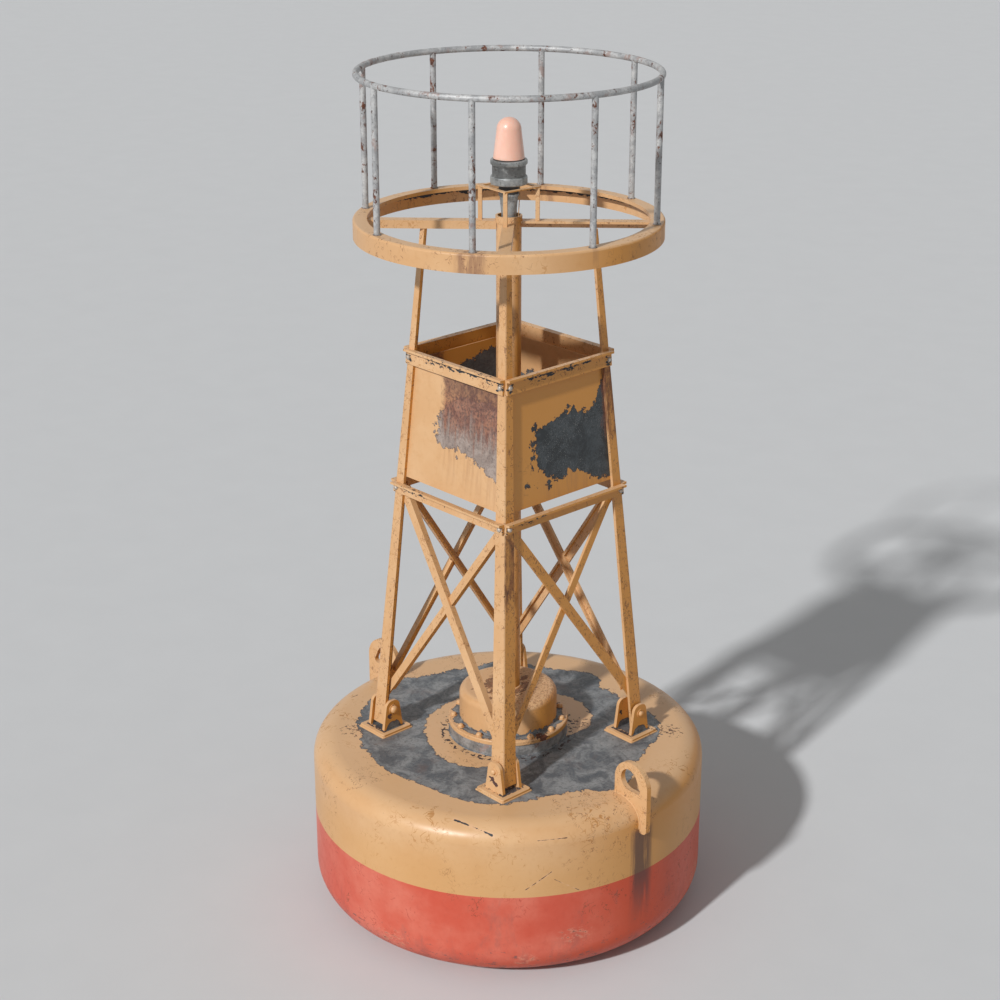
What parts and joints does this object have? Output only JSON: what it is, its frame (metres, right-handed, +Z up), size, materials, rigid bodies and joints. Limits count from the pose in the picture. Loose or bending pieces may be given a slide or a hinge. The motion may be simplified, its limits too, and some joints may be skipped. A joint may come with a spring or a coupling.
{
  "type": "navigation buoy",
  "caption": "Steel navigation buoy: round float with bolted hatch and lifting lugs, tapered lattice tower with daymark panels, ringed platform with handrail, and a marine lantern.",
  "frame": {"origin": "centre of the float's flat bottom, on the floor it stands on", "axes": "+Z up the mast; the tower's four faces look along +X, -X, +Y and -Y, its legs stand on the diagonals, and the lifting lugs are on the X sides"},
  "size_m": [1.8786, 1.7996, 3.8259],
  "materials": {
    "yellow_paint": "weathered satin paint, chipped to bare steel and rust",
    "panel_paint": "weathered satin paint with large flaked patches and rust streaks",
    "red_paint": "weathered matt bottom paint",
    "worn_steel": "bare dark steel, dull",
    "galvanised_steel": "dull galvanised steel with rust spots",
    "lantern_metal": "weathered cast alloy, dirt in the grooves",
    "gasket_rubber": "matt",
    "lens": "smooth, slightly milky"
  },
  "bodies": {
    "root": {"float_upper": "yellow_paint", "hatch_flange": "yellow_paint", "hatch_cover": "yellow_paint", "mast_tube": "yellow_paint", "platform_ring": "yellow_paint", "lantern_stand": "yellow_paint", "lifting_lug_e": "yellow_paint", "lifting_lug_w": "yellow_paint", "float_lower": "red_paint", "hatch_coaming": "worn_steel", "foot_se": "yellow_paint", "leg_se": "yellow_paint", "beam_se": "yellow_paint", "foot_ne": "yellow_paint", "leg_ne": "yellow_paint", "beam_ne": "yellow_paint", "foot_nw": "yellow_paint", "leg_nw": "yellow_paint", "beam_nw": "yellow_paint", "foot_sw": "yellow_paint", "leg_sw": "yellow_paint", "beam_sw": "yellow_paint", "rail_upper_s": "yellow_paint", "rail_lower_s": "yellow_paint", "brace_outer_s": "yellow_paint", "brace_inner_s": "yellow_paint", "panel_s": "panel_paint", "rail_upper_e": "yellow_paint", "rail_lower_e": "yellow_paint", "brace_outer_e": "yellow_paint", "brace_inner_e": "yellow_paint", "panel_e": "panel_paint", "rail_upper_n": "yellow_paint", "rail_lower_n": "yellow_paint", "brace_outer_n": "yellow_paint", "brace_inner_n": "yellow_paint", "panel_n": "panel_paint", "rail_upper_w": "yellow_paint", "rail_lower_w": "yellow_paint", "brace_outer_w": "yellow_paint", "brace_inner_w": "yellow_paint", "panel_w": "panel_paint", "handrail_ring": "galvanised_steel", "handrail_post_1": "galvanised_steel", "handrail_post_2": "galvanised_steel", "handrail_post_3": "galvanised_steel", "handrail_post_4": "galvanised_steel", "handrail_post_5": "galvanised_steel", "handrail_post_6": "galvanised_steel", "handrail_post_7": "galvanised_steel", "handrail_post_8": "galvanised_steel", "lantern_socket": "lantern_metal", "lantern_body": "lantern_metal", "lantern_gasket": "gasket_rubber", "lantern_lens": "lens"}
  },
  "joints": []
}
